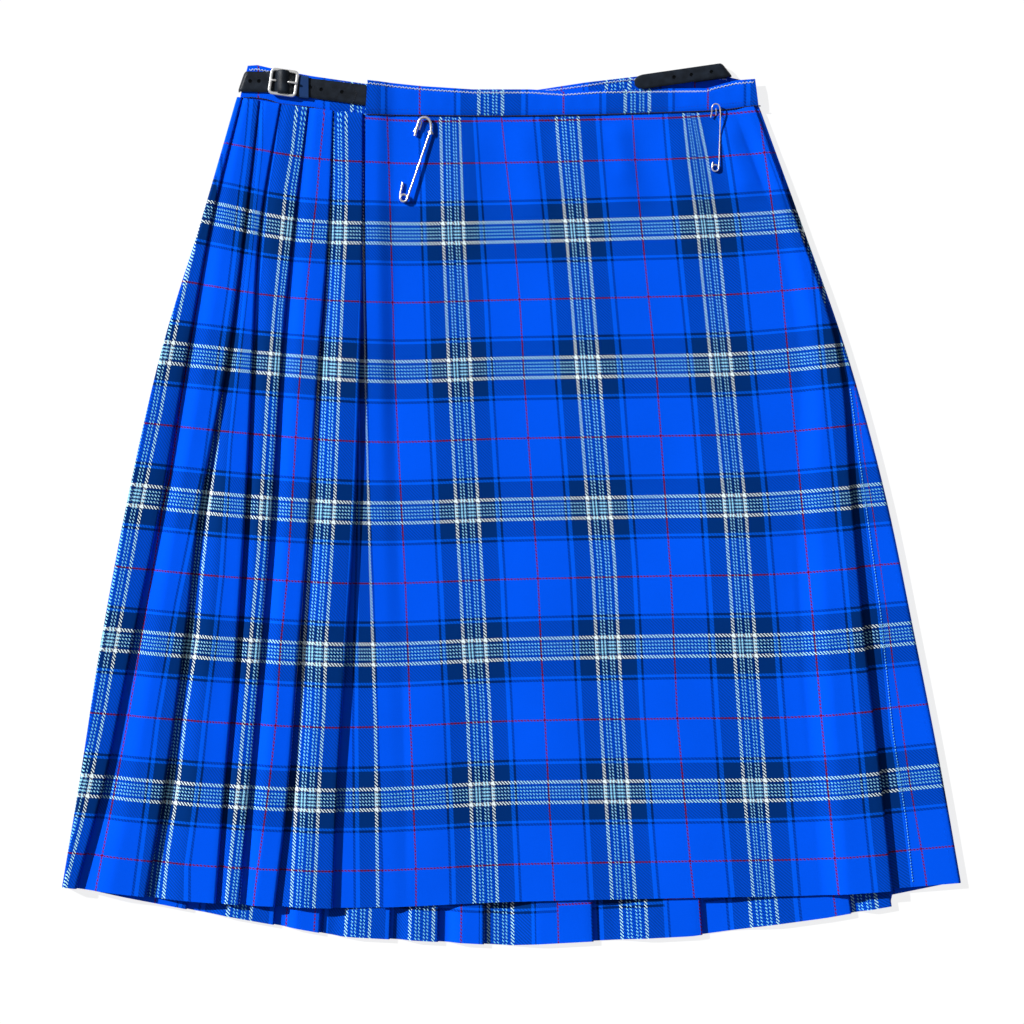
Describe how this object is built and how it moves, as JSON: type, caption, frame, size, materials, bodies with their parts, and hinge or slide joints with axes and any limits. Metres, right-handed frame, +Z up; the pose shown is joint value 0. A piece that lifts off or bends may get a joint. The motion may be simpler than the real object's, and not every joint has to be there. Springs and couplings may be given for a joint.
{
  "type": "kilt skirt",
  "caption": "Pleated tartan kilt skirt laid flat, front up: over apron, knife pleats, waistband, buckled side strap, loose hip strap and kilt pins.",
  "frame": {"origin": "centre of the garment's box on the surface that it lies on", "axes": "+X to the wearer's left across the kilt, +Y from the hem to the waist, +Z up from the surface through the layers"},
  "size_m": [0.675, 0.6622, 0.0122],
  "materials": {
    "tartan_cloth": "worsted twill in bright blue and navy with white and red lines",
    "strap_leather": "smooth black leather",
    "keeper_tape": "navy tape",
    "buckle_steel": "polished nickel plate",
    "pin_steel": "bright drawn wire"
  },
  "bodies": {
    "root": {"over_apron": "tartan_cloth", "front_pleats": "tartan_cloth", "under_apron": "tartan_cloth", "back_pleats": "tartan_cloth", "waistband_apron": "tartan_cloth", "waistband_pleats": "tartan_cloth", "waistband_back": "tartan_cloth", "belt_strap": "strap_leather", "belt_keeper": "keeper_tape", "buckle_frame": "buckle_steel", "buckle_prong": "buckle_steel", "hip_strap": "strap_leather", "kilt_pin_large": "pin_steel", "kilt_pin_small": "pin_steel"}
  },
  "joints": []
}
